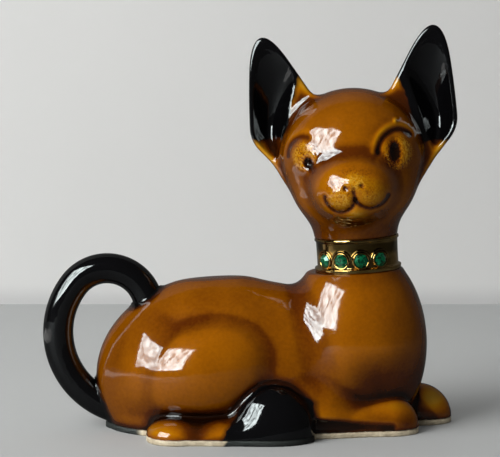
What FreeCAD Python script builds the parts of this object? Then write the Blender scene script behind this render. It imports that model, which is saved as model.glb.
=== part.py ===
"""Recumbent ceramic cat: slip-cast forms luted together, a gilt collar and four paste stones.

Millimetres. +X runs from the tail to the forepaws, +Z is up and the face looks towards -Y.
The origin is on the table, under the middle of the base. The cat's own right side is at -Y.
"""

import FreeCAD, Part
import Sketcher
import math
import os
import re

from FreeCAD import Vector

doc = FreeCAD.newDocument("cat_figurine")

# Driving dimensions, in millimetres and degrees
SIZES = {
    # Castings
    "casting_wall": 4.0,
    "base_thickness": 2.0,
    "vent_diameter": 8.0,
    "vent_x": -24.0,
    # Trunk
    "rump_x": -65.3,
    "trunk_front_x": 21.8,
    "back_top": 53.4,
    "trunk_widest_z": 18.0,
    "trunk_half_width": 23.2,
    "waist_back_x": -22.0,
    "waist_front_x": 28.0,
    "saddle_top": 48.6,
    "waist_half_width": 19.4,
    # Thighs
    "thigh_x": -27.0,
    "thigh_y": 12.5,
    "thigh_z": 23.0,
    "thigh_half_length": 24.5,
    "thigh_bulge": 15.4,
    "thigh_half_height": 18.0,
    # Chest and neck
    "chest_back_x": -0.1,
    "chest_front_x": 49.1,
    "chest_half_width": 21.8,
    "chest_widest_z": 29.0,
    "chest_half_height": 35.0,
    "neck_x": 24.8,
    "neck_y": 0.0,
    "neck_joint_z": 61.0,
    "neck_radius": 13.6,
    "neck_tilt": 3.5,
    "neck_bore_radius": 9.0,
    "throat_radius": 16.0,
    # Hind feet
    "heel_x": -48.0,
    "shank_half_length": 26.0,
    "shank_half_width": 9.4,
    "shank_height": 9.4,
    "hind_toe_x": 9.8,
    "hind_foot_y": 21.6,
    "hind_paw_half_length": 14.2,
    "hind_paw_half_width": 9.6,
    "hind_paw_height": 16.9,
    # Forelegs
    "right_paw_tip_x": 45.8,
    "left_paw_tip_x": 59.0,
    "paw_y": 8.6,
    "paw_half_length": 11.5,
    "paw_half_width": 7.8,
    "paw_height": 11.6,
    "forearm_back_x": 3.0,
    "forearm_y": 13.6,
    "forearm_half_width": 7.8,
    "forearm_height": 11.0,
    "forearm_turn": 9.0,
    # Tail
    "tail_thickness": 10.5,
    "tail_arch_x": -61.3,
    "tail_arch_z": 41.0,
    "tail_arch_radius": 14.4,
    "tail_sweep_radius": 27.5,
    "tail_lift": 0.2,
    # Head, in a frame at the middle of the skull
    "head_x": 22.8,
    "head_y": -2.0,
    "head_z": 94.4,
    "head_yaw": 5.0,
    "head_roll": 4.2,
    "head_half_width": 24.8,
    "head_half_depth": 21.0,
    "head_half_height": 23.0,
    "jaw_half_width": 19.0,
    "jaw_half_depth": 15.5,
    "jaw_forward": 6.0,
    "chin_drop": 25.0,
    "muzzle_half_width": 13.8,
    "muzzle_half_height": 11.2,
    "muzzle_reach": 29.0,
    "muzzle_drop": 9.6,
    "nose_half_width": 4.4,
    "nose_half_height": 3.4,
    "nose_drop": 5.4,
    "nose_rise": 0.8,
    "eye_spread": 15.6,
    "eye_rise": 1.0,
    "eye_ring_radius": 4.4,
    "eye_ring_bead": 1.4,
    "eye_splay": 30.0,
    "pupil_radius": 2.2,
    # Ears, in the head's frame
    "ear_shift": 1.0,
    "ear_front_y": -3.0,
    "ear_depth": 11.0,
    "ear_tip_u": 29.6,
    "ear_tip_v": 42.0,
    "ear_tip_radius": 2.8,
    "ear_bow_radius": 80.0,
    "ear_lobe_u": 24.8,
    "ear_lobe_v": 7.2,
    "ear_lobe_radius": 9.0,
    "ear_inner_root_u": 9.0,
    "ear_inner_root_v": 16.6,
    "ear_wall": 1.8,
    # Collar and stones
    "collar_height": 11.4,
    "collar_seat_radius": 12.3,
    "collar_wall": 1.7,
    "collar_flare": 0.7,
    "collar_bead": 0.9,
    "seat_clearance": 0.1,
    "stone_count": 4,
    "stone_diameter": 4.6,
    "stone_table": 2.6,
    "stone_crown": 0.8,
    "stone_pavilion": 1.5,
    "stone_spacing": 28.0,
    "stone_row_angle": -12.8,
    "stone_row_drop": 1.4,
    "bezel_rim": 0.7,
    "bezel_rise": 0.8,
}

sheet = doc.addObject("Spreadsheet::Sheet", "sizes")
for row, (alias, value) in enumerate(SIZES.items(), start=1):
    sheet.set(f"A{row}", alias)
    sheet.set(f"B{row}", str(value))
    sheet.setAlias(f"B{row}", alias)
doc.recompute()

HEAD_TURN = "rotationz(-head_yaw) * rotationy(-head_roll)"
HEAD_PLACE = f"placement(vector(head_x; head_y; head_z); {HEAD_TURN})"
NECK_PLACE = "placement(vector(neck_x; neck_y; neck_joint_z); rotationy(-neck_tilt))"
SIDES = {"right": -1, "left": 1}


def size(alias):
    """The value of one driving dimension, as the sheet holds it."""
    return float(sheet.get(alias))


def formula(text):
    """The text as an expression, each driving dimension's name pointing at its cell."""
    return re.sub(r"\w+", lambda word: f"sizes.{word[0]}" if word[0] in SIZES else word[0], text)


def bind(item, **formulas):
    """Tie properties of one object to the sheet."""
    for name, text in formulas.items():
        item.setExpression(name, formula(text))


def make(kind, name, centre=("0", "0", "0"), turn="rotationz(0)", **formulas):
    """One primitive, its sizes and its place tied to the sheet."""
    item = doc.addObject(kind, name)
    place = f"placement(vector({centre[0]}; {centre[1]}; {centre[2]}); {turn})"
    bind(item, Placement=place, **formulas)
    return item


def ellipsoid(name, centre, radii, turn="rotationz(0)"):
    """An ellipsoid with the given half-lengths along X, Y and Z."""
    return make("Part::Ellipsoid", name, centre, turn, Radius2=radii[0], Radius3=radii[1], Radius1=radii[2])


def fuse(name, items, place=None):
    """The items as one solid, moved to a place of its own if one is given."""
    result = doc.addObject("Part::MultiFuse", name)
    result.Shapes = items
    if place:
        bind(result, Placement=place)
    return result


def cut(name, base, tool, place=None):
    """The base with the tool taken away."""
    result = doc.addObject("Part::Cut", name)
    result.Base = base
    result.Tool = tool
    if place:
        bind(result, Placement=place)
    return result


def common(name, items):
    """What the items share."""
    result = doc.addObject("Part::MultiCommon", name)
    result.Shapes = items
    return result


def moved(name, item, place):
    """One solid at a place of its own."""
    result = doc.addObject("Part::Refine", name)
    result.Source = item
    bind(result, Placement=place)
    return result


def slab(name, bottom, top):
    """A wide level slab between two heights, larger than the whole figure."""
    reach = "4 * (chest_front_x - rump_x)"
    return make("Part::Box", name, (f"-({reach}) / 2", f"-({reach}) / 2", bottom),
                Length=reach, Width=reach, Height=f"{top} - ({bottom})")


def body_masses(skin):
    """Trunk, chest and both thighs, drawn in from the outside by the skin."""
    tag = "outer" if skin == "0" else "inner"
    masses = [
        ellipsoid(f"trunk_{tag}",
                  ("(rump_x + trunk_front_x) / 2", "0", "trunk_widest_z"),
                  (f"(trunk_front_x - rump_x) / 2 - {skin}",
                   f"trunk_half_width - {skin}",
                   f"back_top - trunk_widest_z - {skin}")),
        ellipsoid(f"waist_{tag}",
                  ("(waist_back_x + waist_front_x) / 2", "0", "trunk_widest_z"),
                  (f"(waist_front_x - waist_back_x) / 2 - {skin}",
                   f"waist_half_width - {skin}",
                   f"saddle_top - trunk_widest_z - {skin}")),
        ellipsoid(f"chest_{tag}",
                  ("(chest_back_x + chest_front_x) / 2", "0", "chest_widest_z"),
                  (f"(chest_front_x - chest_back_x) / 2 - {skin}",
                   f"chest_half_width - {skin}",
                   f"chest_half_height - {skin}")),
    ]
    for side, sign in SIDES.items():
        masses.append(ellipsoid(f"{side}_thigh_{tag}",
                                ("thigh_x", f"{sign} * thigh_y", "thigh_z"),
                                (f"thigh_half_length - {skin}",
                                 f"thigh_bulge - {skin}",
                                 f"thigh_half_height - {skin}")))
    return masses


def neck_piece(name, radius, down, up):
    """A round length of neck, measured both ways from the joint under the collar."""
    return make("Part::Cylinder", name,
                (f"neck_x + ({down}) * sin(neck_tilt)", "neck_y",
                 f"neck_joint_z - ({down}) * cos(neck_tilt)"),
                "rotationy(-neck_tilt)", Radius=radius, Height=f"({down}) + ({up})")


def hind_foot(side, sign):
    """The shank lying along the base and the paw at its front."""
    foot_y = f"{sign} * hind_foot_y"
    shank = ellipsoid(f"{side}_shank",
                      ("heel_x + shank_half_length", foot_y, "base_thickness"),
                      ("shank_half_length", "shank_half_width", "shank_height"))
    paw = ellipsoid(f"{side}_hind_paw",
                    ("hind_toe_x - hind_paw_half_length", foot_y, "base_thickness"),
                    ("hind_paw_half_length", "hind_paw_half_width", "hind_paw_height"))
    return fuse(f"{side}_hind_mass", [shank, paw])


def foreleg(side, sign):
    """The forearm lying beside the chest and the paw at its front."""
    tip = f"{side}_paw_tip_x"
    back = f"forearm_back_x + {tip} - right_paw_tip_x"
    reach = f"({tip} - paw_half_length - ({back})) / 2"
    forearm = ellipsoid(f"{side}_forearm",
                        (f"{back} + {reach}", f"{sign} * forearm_y", "base_thickness"),
                        (f"{reach} + paw_half_length / 2", "forearm_half_width", "forearm_height"),
                        f"rotationz({-sign} * forearm_turn)")
    paw = ellipsoid(f"{side}_fore_paw",
                    (f"{tip} - paw_half_length", f"{sign} * paw_y", "base_thickness"),
                    ("paw_half_length", "paw_half_width", "paw_height"))
    return fuse(f"{side}_foreleg_mass", [forearm, paw])


def new_sketch(body, name, plane, offset=None):
    """A sketch on one of the body's own origin planes."""
    sketch = body.newObject("Sketcher::SketchObject", name)
    sketch.AttachmentSupport = [(next(item for item in body.Origin.OriginFeatures
                                      if item.Role == plane), "")]
    sketch.MapMode = "FlatFace"
    if offset:
        sketch.setExpression("AttachmentOffset.Base.z", formula(offset))
    return sketch


def hold(sketch, kind, where, text):
    """One dimension of a sketch, tied to the sheet."""
    value = float(sketch.evalExpression(formula(text)))
    index = sketch.addConstraint(Sketcher.Constraint(kind, *where, value))
    sketch.setExpression(f"Constraints[{index}]", formula(text))


def pin_point(sketch, edge, vertex, across, up):
    """A point of a sketch held at its distances from the sketch's origin."""
    hold(sketch, "DistanceX", (-1, 1, edge, vertex), across)
    hold(sketch, "DistanceY", (-1, 1, edge, vertex), up)


def arc(centre, radius, start, end):
    """An arc between two angles in degrees, anticlockwise."""
    circle = Part.Circle(Vector(*centre, 0), Vector(0, 0, 1), radius)
    return Part.ArcOfCircle(circle, math.radians(start), math.radians(end))


def heading(start, end):
    """The direction from one flat point to another, in degrees."""
    return math.degrees(math.atan2(end[1] - start[1], end[0] - start[0]))


def tail_spine(body):
    """The tail's path: a round arch over the rump, then one wide sweep down to the base."""
    arch = (size("tail_arch_x"), size("tail_arch_z"))
    arch_radius = size("tail_arch_radius")
    sweep_radius = size("tail_sweep_radius")
    sweep_z = sweep_radius + size("tail_thickness") / 2 + size("tail_lift")
    sweep_x = arch[0] + math.sqrt((sweep_radius - arch_radius) ** 2 - (arch[1] - sweep_z) ** 2)
    meeting = heading((sweep_x, sweep_z), arch)
    spine = new_sketch(body, "tail_spine", "XZ_Plane")
    spine.addGeometry([arc(arch, arch_radius, 0, meeting),
                       arc((sweep_x, sweep_z), sweep_radius, meeting, 270)])
    spine.addConstraint(Sketcher.Constraint("Tangent", 0, 2, 1, 1))
    spine.addConstraint(Sketcher.Constraint("Horizontal", 0, 3, 0, 1))
    spine.addConstraint(Sketcher.Constraint("Vertical", 1, 3, 1, 2))
    pin_point(spine, 0, 3, "tail_arch_x", "tail_arch_z")
    hold(spine, "Radius", (0,), "tail_arch_radius")
    hold(spine, "Radius", (1,), "tail_sweep_radius")
    hold(spine, "DistanceY", (-1, 1, 1, 3), "tail_sweep_radius + tail_thickness / 2 + tail_lift")
    return spine


def tail_rod():
    """The whole tail before it is trimmed to the body."""
    body = doc.addObject("PartDesign::Body", "tail_rod")
    spine = tail_spine(body)
    ring = new_sketch(body, "tail_section", "XY_Plane", "tail_arch_z")
    root_x = size("tail_arch_x") + size("tail_arch_radius")
    ring.addGeometry(Part.Circle(Vector(root_x, 0, 0), Vector(0, 0, 1), size("tail_thickness") / 2))
    hold(ring, "DistanceX", (-1, 1, 0, 3), "tail_arch_x + tail_arch_radius")
    ring.addConstraint(Sketcher.Constraint("PointOnObject", 0, 3, -1))
    hold(ring, "Radius", (0,), "tail_thickness / 2")
    pipe = body.newObject("PartDesign::AdditivePipe", "tail_pipe")
    pipe.Profile = ring
    pipe.Spine = spine
    body.Tip = pipe
    return body


def leaf_outline(body, name, inset):
    """The ear's leaf shape: a straight inner edge, a round tip, a bowed outer edge and a round lobe."""
    drawn_in = float(sheet.evalExpression(formula(inset)))
    tip_radius, bow_radius, lobe_radius = (
        size(f"ear_{part}_radius") - drawn_in for part in ("tip", "bow", "lobe"))
    tip = Vector(size("ear_tip_u"), size("ear_tip_v") - size("ear_tip_radius"), 0)
    lobe = Vector(size("ear_lobe_u"), size("ear_lobe_v"), 0)
    inner = Vector(size("ear_inner_root_u") + drawn_in, size("ear_inner_root_v"), 0)
    bow = bow_centre(tip, lobe, bow_radius - tip_radius, bow_radius - lobe_radius)
    lean = heading(inner, tip) + math.degrees(math.asin(tip_radius / (tip - inner).Length)) + 90
    shoulder = tip + tip_radius * Vector(math.cos(math.radians(lean)), math.sin(math.radians(lean)), 0)
    leaf = new_sketch(body, name, "XZ_Plane", "-ear_front_y")
    leaf.addGeometry([Part.LineSegment(inner, shoulder),
                      arc(tip[:2], tip_radius, heading(bow, tip), lean),
                      arc(bow[:2], bow_radius, heading(bow, lobe), heading(bow, tip)),
                      arc(lobe[:2], lobe_radius, -90, heading(bow, lobe)),
                      Part.LineSegment(lobe - Vector(0, lobe_radius, 0), inner)])
    for joint in ((0, 2, 1, 2), (1, 1, 2, 2), (2, 1, 3, 2)):
        leaf.addConstraint(Sketcher.Constraint("Tangent", *joint))
    for joint in ((3, 1, 4, 1), (4, 2, 0, 1)):
        leaf.addConstraint(Sketcher.Constraint("Coincident", *joint))
    leaf.addConstraint(Sketcher.Constraint("Vertical", 3, 3, 3, 1))
    pin_point(leaf, 0, 1, f"ear_inner_root_u + {inset}", "ear_inner_root_v")
    pin_point(leaf, 1, 3, "ear_tip_u", "ear_tip_v - ear_tip_radius")
    pin_point(leaf, 3, 3, "ear_lobe_u", "ear_lobe_v")
    for edge, part in ((1, "tip"), (2, "bow"), (3, "lobe")):
        hold(leaf, "Radius", (edge,), f"ear_{part}_radius - {inset}")
    return leaf


def bow_centre(tip, root, tip_reach, root_reach):
    """The middle of the arc that lies the given distances from the middles of tip and lobe."""
    span = tip - root
    along = (root_reach ** 2 - tip_reach ** 2 + span.Length ** 2) / (2 * span.Length)
    aside = math.sqrt(root_reach ** 2 - along ** 2)
    step = span / span.Length
    return root + step * along + Vector(-step.y, step.x, 0) * aside


def leaf_pad(name, inset, depth):
    """The leaf shape given depth, from the ear's front backwards."""
    body = doc.addObject("PartDesign::Body", name)
    pad = body.newObject("PartDesign::Pad", f"{name}_pad")
    pad.Profile = leaf_outline(body, f"{name}_outline", inset)
    pad.Reversed = True
    bind(pad, Length=depth)
    body.Tip = pad
    return body


def ear_horn(name, inset):
    """The rounded back of the ear, deepest at the root and thin at the tip."""
    return ellipsoid(name, ("ear_lobe_u", "ear_front_y", "0"),
                     (f"ear_tip_u - {inset}", f"ear_depth - {inset}",
                      f"ear_tip_v + ear_tip_radius - {inset}"))


def ear_blank():
    """The left ear in the head's frame: a leaf-shaped dish with a thin rim."""
    shell = common("ear_shell", [leaf_pad("ear_leaf", "0", "ear_depth"), ear_horn("ear_back", "0")])
    dish = common("ear_dish", [leaf_pad("ear_hollow", "ear_wall", "ear_depth"),
                               ear_horn("ear_floor", "ear_wall")])
    return cut("ear_blank", shell, dish)


def head_mass():
    """Skull, jaw, muzzle, nose and both raised eye rings as one solid, in the head's frame."""
    skull_front = ("-head_half_depth * sqrt(1 - (eye_spread / head_half_width) ^ 2"
                   " - (eye_rise / head_half_height) ^ 2)")
    lumps = [
        ellipsoid("skull", ("0", "0", "0"),
                  ("head_half_width", "head_half_depth", "head_half_height")),
        ellipsoid("jaw", ("0", "-jaw_forward", "-chin_drop / 2"),
                  ("jaw_half_width", "jaw_half_depth", "chin_drop / 2")),
        ellipsoid("muzzle", ("0", "-muzzle_reach * 0.6", "-muzzle_drop"),
                  ("muzzle_half_width", "muzzle_reach * 0.4", "muzzle_half_height")),
        ellipsoid("nose", ("0", "nose_half_height - nose_rise - muzzle_reach", "-nose_drop"),
                  ("nose_half_width", "nose_half_height", "nose_half_height")),
    ]
    pupils = []
    for side, sign in SIDES.items():
        eye = (f"{sign} * eye_spread", skull_front, "eye_rise")
        lumps.append(make("Part::Torus", f"{side}_eye_ring", eye,
                          f"rotationz({sign} * eye_splay) * rotationx(90)",
                          Radius1="eye_ring_radius", Radius2="eye_ring_bead"))
        pupils.append(make("Part::Sphere", f"{side}_pupil", eye, Radius="pupil_radius"))
    solid = fuse("head_lumps", lumps)
    return cut("head_mass", solid, fuse("pupils", pupils), HEAD_PLACE)


def ear_pair():
    """Both ears in the head's frame, the right one a mirror of the left."""
    left = ear_blank()
    right = doc.addObject("Part::Mirroring", "ear_mirror")
    right.Source = left
    right.Normal = Vector(1, 0, 0)
    shift = "placement(vector(ear_shift; 0; 0); rotationz(0))"
    placed = {}
    for side, blank in {"right": right, "left": left}.items():
        placed[side] = moved(f"{side}_ear_placed", blank, f"{HEAD_PLACE} * {shift}")
    return placed


def around_collar(index, radius, drop):
    """A place on the collar's face: out along the radius, below the collar's middle."""
    angle = f"(stone_row_angle + ({index} - (stone_count - 1) / 2) * stone_spacing)"
    return ((f"({radius}) * sin{angle}", f"-({radius}) * cos{angle}", f"-({drop})"),
            f"rotationz{angle} * rotationx(90)")


def stone_blank(index):
    """One paste stone in the collar's frame: a flat-topped crown over a pointed back."""
    girdle = "collar_seat_radius + collar_wall + bezel_rise - stone_crown / 2"
    centre, turn = around_collar(index, girdle, "stone_row_drop")
    crown = make("Part::Cone", f"stone_crown_{index + 1}", centre, turn,
                 Radius1="stone_diameter / 2", Radius2="stone_table / 2", Height="stone_crown")
    back_centre, back_turn = around_collar(index, f"{girdle} - stone_pavilion", "stone_row_drop")
    back = make("Part::Cone", f"stone_back_{index + 1}", back_centre, back_turn,
                Radius1="0", Radius2="stone_diameter / 2", Height="stone_pavilion")
    return fuse(f"stone_blank_{index + 1}", [crown, back], NECK_PLACE)


def collar_blank():
    """The collar in its own frame: a slightly flared band, two rims and a bezel for each stone."""
    outer = "collar_seat_radius + seat_clearance + collar_wall"
    lumps = [
        make("Part::Cone", "collar_band_outer", ("0", "0", "-collar_height / 2"),
             Radius1=f"{outer} + collar_flare", Radius2=outer, Height="collar_height"),
        make("Part::Torus", "collar_lower_bead", ("0", "0", "collar_bead - collar_height / 2"),
             Radius1=f"{outer} + collar_flare - collar_bead / 2", Radius2="collar_bead"),
    ]
    for index in range(int(size("stone_count"))):
        centre, turn = around_collar(index, "collar_seat_radius + collar_wall / 2", "stone_row_drop")
        lumps.append(make("Part::Cylinder", f"bezel_{index + 1}", centre, turn,
                          Radius="stone_diameter / 2 + bezel_rim",
                          Height="collar_wall / 2 + bezel_rise"))
    bore = make("Part::Cylinder", "collar_bore", ("0", "0", "-collar_height"),
                Radius="collar_seat_radius + seat_clearance", Height="2 * collar_height")
    return cut("collar_blank", fuse("collar_lumps", lumps), bore, NECK_PLACE)


def seat_ring():
    """What is turned off the neck to seat the collar."""
    down = "collar_height / 2"
    up = "collar_height / 2 + seat_clearance"
    ring = neck_piece("seat_ring_outer", "2 * neck_radius", down, up)
    core = neck_piece("seat_ring_core", "collar_seat_radius", f"2 * {down}", f"2 * {down}")
    return cut("seat_ring", ring, core)


def finish(name, item):
    """Name the object that becomes one sub-part of the figure."""
    item.Label = name
    PARTS[name] = item


PARTS = {}


def build():
    """Every sub-part of the cat, each trimmed to the neighbours it is luted to."""
    below_base = slab("table", "-chest_front_x", "base_thickness")
    base_layer = slab("base_layer", "0", "base_thickness")
    lower_neck = neck_piece("lower_neck", "neck_radius", "neck_joint_z - chest_widest_z", "0")
    body = fuse("body_outer", body_masses("0") + [lower_neck])
    core = fuse("body_core", body_masses("casting_wall")
                + [neck_piece("lower_bore", "neck_bore_radius", "neck_joint_z - chest_widest_z", "1")])
    hind_feet = {side: hind_foot(side, sign) for side, sign in SIDES.items()}
    forelegs = {side: foreleg(side, sign) for side, sign in SIDES.items()}
    legs = list(hind_feet.values()) + list(forelegs.values())
    ring = seat_ring()

    slices = [common(f"{mass.Name}_slice", [mass, base_layer]) for mass in [body] + legs]
    base = fuse("base_footprint", slices)
    vent = make("Part::Cylinder", "vent", ("vent_x", "0", "-base_thickness"),
                Radius="vent_diameter / 2", Height="3 * base_thickness")
    finish("base_plate", cut("base_cut", base, vent))

    trimming = fuse("body_trimming", [core, below_base, ring] + legs)
    finish("torso_casting", cut("torso_cut", body, trimming))

    for side in SIDES:
        hind_trimming = fuse(f"{side}_hind_trimming", [core, below_base])
        finish(f"{side}_hind_foot", cut(f"{side}_hind_cut", hind_feet[side], hind_trimming))
        fore_trimming = fuse(f"{side}_fore_trimming", [core, below_base, hind_feet[side]])
        finish(f"{side}_foreleg", cut(f"{side}_fore_cut", forelegs[side], fore_trimming))

    finish("tail", cut("tail_cut", tail_rod(), body))

    mass = head_mass()
    upper_neck = make("Part::Cone", "upper_neck", ("neck_x", "neck_y", "neck_joint_z"),
                      "rotationy(-neck_tilt)", Radius1="neck_radius", Radius2="throat_radius",
                      Height="head_z - neck_joint_z")
    upper_bore = neck_piece("upper_bore", "neck_bore_radius", "1", "head_z - neck_joint_z")
    hollow = ellipsoid("skull_hollow", ("0", "0", "0"),
                       ("head_half_width - casting_wall", "head_half_depth - casting_wall",
                        "head_half_height - casting_wall"))
    placed_hollow = moved("skull_hollow_placed", hollow, HEAD_PLACE)
    head_trimming = fuse("head_trimming", [upper_bore, placed_hollow, ring])
    whole_head = fuse("head_outer", [mass, upper_neck])
    finish("head_casting", cut("head_cut", whole_head, head_trimming))

    for side, ear in ear_pair().items():
        finish(f"{side}_ear", cut(f"{side}_ear_cut", ear, mass))

    stones = [stone_blank(index) for index in range(int(size("stone_count")))]
    for index, stone in enumerate(stones, start=1):
        finish(f"stone_{index}", stone)
    finish("collar_band", cut("collar_cut", collar_blank(), fuse("stone_seats", stones)))


def check_and_write():
    """Stop if anything failed to build; otherwise write one STEP file for each sub-part."""
    doc.recompute()
    faulty = [item.Name for item in doc.Objects if {"Invalid", "Error"} & set(item.State)]
    for name, item in PARTS.items():
        if item.Shape.isNull() or not item.Shape.isValid() or not item.Shape.Solids:
            faulty.append(name)
    if faulty:
        raise RuntimeError("failed: " + ", ".join(faulty))
    os.makedirs("parts", exist_ok=True)
    for name, item in PARTS.items():
        item.Shape.exportStep(f"parts/{name}.step")
        print(name, len(item.Shape.Solids), round(item.Shape.Volume, 1))


build()
check_and_write()
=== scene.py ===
"""A lying ceramic cat in amber and black glaze, with a gilt collar and green stones.

Lengths are millimetres until a mesh is made. +X runs from tail to paws, +Z is up, the face looks to -Y.
The clay forms are fields: each gives a distance to its surface, below zero inside the clay.
"""

import math
from itertools import product

import bpy
import numpy as np
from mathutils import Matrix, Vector


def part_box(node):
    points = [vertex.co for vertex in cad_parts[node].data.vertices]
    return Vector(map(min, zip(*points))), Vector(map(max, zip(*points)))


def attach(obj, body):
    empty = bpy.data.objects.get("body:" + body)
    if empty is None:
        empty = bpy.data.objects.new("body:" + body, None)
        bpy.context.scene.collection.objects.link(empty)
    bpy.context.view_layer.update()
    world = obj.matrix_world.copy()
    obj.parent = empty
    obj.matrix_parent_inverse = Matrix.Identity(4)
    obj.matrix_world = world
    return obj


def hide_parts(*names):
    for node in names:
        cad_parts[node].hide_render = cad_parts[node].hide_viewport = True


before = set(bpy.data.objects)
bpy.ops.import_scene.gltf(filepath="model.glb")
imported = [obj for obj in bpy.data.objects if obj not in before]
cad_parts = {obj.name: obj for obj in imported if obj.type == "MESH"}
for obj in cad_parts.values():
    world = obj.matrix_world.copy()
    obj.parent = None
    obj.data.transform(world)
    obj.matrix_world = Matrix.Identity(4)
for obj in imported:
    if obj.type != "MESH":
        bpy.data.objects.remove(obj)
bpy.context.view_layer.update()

MM = 0.001

# The kiln's table level and the height of the bare rim
BASE_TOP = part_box("torso_casting")[0].z / MM

# Head frame: the middle of the skull, its turn towards the viewer and its tilt
HEAD_AT = np.array([22.8, -2.0, 94.4])
HEAD_YAW = 5.0
HEAD_ROLL = 4.2

# Collar frame: the joint under the collar and the neck's lean
NECK_AT = np.array([24.8, 0.0, 61.0])
NECK_LEAN = 3.5
COLLAR_HEIGHT = 11.4
SEAT_RADIUS = 12.3

# Tail: the round arch over the rump, and the wide sweep that carries it down
TAIL_RADIUS = 5.2
ARCH_AT = np.array([-61.3, 0.0, 41.0])
ARCH_RADIUS = 14.4
SWEEP_RADIUS = 27.5
TAIL_LIFT = 0.35
TAIL_END = 1.5 * math.pi

# How much further forward the far foreleg reaches, and how the thighs rise towards the chest
FAR_REACH = 13.2
THIGH_TILT = 15.0


def turn(yaw, roll):
    """Axes turned clockwise by yaw about the upright, then tipped by roll in the face's plane."""
    a = math.radians(-yaw)
    b = math.radians(-roll)
    spin = np.array([[math.cos(a), -math.sin(a), 0], [math.sin(a), math.cos(a), 0], [0, 0, 1]])
    tip = np.array([[math.cos(b), 0, math.sin(b)], [0, 1, 0], [-math.sin(b), 0, math.cos(b)]])
    return spin @ tip


HEAD_TURN = turn(HEAD_YAW, HEAD_ROLL)
NECK_TURN = turn(0.0, NECK_LEAN)
THIGH_TURN = turn(0.0, THIGH_TILT)


def in_frame(points, origin, axes):
    """Points seen from a frame with its own origin and axes."""
    return (points - origin) @ axes


def in_head(points):
    """Points seen from the head's own frame."""
    return in_frame(points, HEAD_AT, HEAD_TURN)


def reach_ahead(side):
    """How far a foreleg is set forward."""
    return FAR_REACH if side > 0 else 0.0


def oval(points, centre, reach):
    """The field of an ellipsoid with the given half-lengths."""
    offset = points - np.asarray(centre, float)
    reach = np.asarray(reach, float)
    near = np.linalg.norm(offset / reach, axis=1)
    slope = np.linalg.norm(offset / reach ** 2, axis=1)
    return near * (near - 1.0) / np.maximum(slope, 1e-6)


def limb(points, start, end, start_radius, end_radius):
    """The field of a limb: two balls and the cone that wraps both."""
    start = np.asarray(start, float)
    axis = np.asarray(end, float) - start
    length2 = axis @ axis
    drop = start_radius - end_radius
    side2 = length2 - drop * drop
    offset = points - start
    along = offset @ axis
    past = along - length2
    across2 = np.sum((offset * length2 - np.outer(along, axis)) ** 2, axis=1)
    past2 = past * past * length2
    along2 = along * along * length2
    level = np.sign(drop) * drop * drop * across2
    body = (np.sqrt(across2 * side2 / length2) + along * drop) / length2 - start_radius
    at_end = np.sqrt(across2 + past2) / length2 - end_radius
    at_start = np.sqrt(across2 + along2) / length2 - start_radius
    return np.where(np.sign(past) * side2 * past2 > level, at_end,
                    np.where(np.sign(along) * side2 * along2 < level, at_start, body))


def blend(first, second, soft):
    """Two forms pressed into one, with a hollow of the given softness where they meet."""
    mix = np.clip(0.5 + 0.5 * (second - first) / soft, 0.0, 1.0)
    return second * (1 - mix) + first * mix - soft * mix * (1 - mix)


def ease(value, low, high):
    """A smooth step from 0 at low to 1 at high; high may lie below low."""
    share = np.clip((value - low) / (high - low), 0.0, 1.0)
    return share * share * (3 - 2 * share)


def carve(form, tool, soft):
    """A form with the tool's shape taken out, its edge eased by the given softness."""
    return -blend(-form, tool, soft)


def tucked(points):
    """Points spread sideways low at the front, so that the chest draws in over the forearms."""
    share = ease(points[:, 2], 32.0, 8.0) * ease(points[:, 0], 12.0, 33.0)
    return points * np.stack([np.ones(len(points)), 1 + 0.42 * share, np.ones(len(points))], axis=1)


def trunk(points):
    """Rump, waist, chest and both thighs, without the neck."""
    barrel = oval(points, (-21.8, 0, 18), (43.5, 22.6, 35.3))
    waist = oval(points, (3, 0, 18), (25, 18.4, 30.4))
    chest = oval(tucked(points), (24.5, 0, 29), (24.5, 21.7, 35))
    form = blend(blend(barrel, waist, 6.0), chest, 4.5)
    for side in (-1, 1):
        local = in_frame(points, np.array([-26.8, side * 12.9, 22.2]), THIGH_TURN)
        thigh = oval(local, (0, 0, 0), (24.6, 14.8, 18.0))
        soft = 2.0 + 9.0 * ease(points[:, 0] - 0.3 * points[:, 2], -46.0, -64.0)
        form = blend(form, thigh, soft)
    return form


def neck(points):
    """The neck from the shoulders to the skull."""
    low = limb(points, (25.3, 0, 46), (24.6, 0, 62), 11.0, 13.1)
    high = limb(points, (24.6, 0, 62), (23.3, -1, 82), 13.2, 16.5)
    return np.minimum(low, high)


def hind_leg(points, side):
    """The shank along the base and the big round paw."""
    shank = oval(points, (-20.5, side * 21.5, 2), (25, 9.2, 6.0))
    heel = oval(points, (-37.2, side * 21.8, 2.4), (9.3, 8.8, 5.4))
    paw = oval(points, (-4.4, side * 21.4, 2), (14.1, 9.5, 16.8))
    return blend(blend(shank, heel, 3.0), paw, 4.0)


def fore_leg(points, side):
    """The forearm beside the chest and its paw; the far one reaches further."""
    ahead = reach_ahead(side)
    forearm = limb(points, (8 + ahead, side * 14.5, 5.2), (34 + ahead, side * 9.0, 5.0), 8.0, 7.0)
    paw = oval(points, (34.2 + ahead, side * 8.6, 2), (11.5, 7.7, 11.4))
    return blend(forearm, paw, 3.0)


def tail_places():
    """The sweep's centre and the angle where arch and sweep meet."""
    sweep_z = SWEEP_RADIUS + TAIL_RADIUS + TAIL_LIFT
    drop = ARCH_AT[2] - sweep_z
    sweep_x = ARCH_AT[0] + math.sqrt((SWEEP_RADIUS - ARCH_RADIUS) ** 2 - drop ** 2)
    return np.array([sweep_x, 0, sweep_z]), math.atan2(drop, ARCH_AT[0] - sweep_x)


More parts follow.
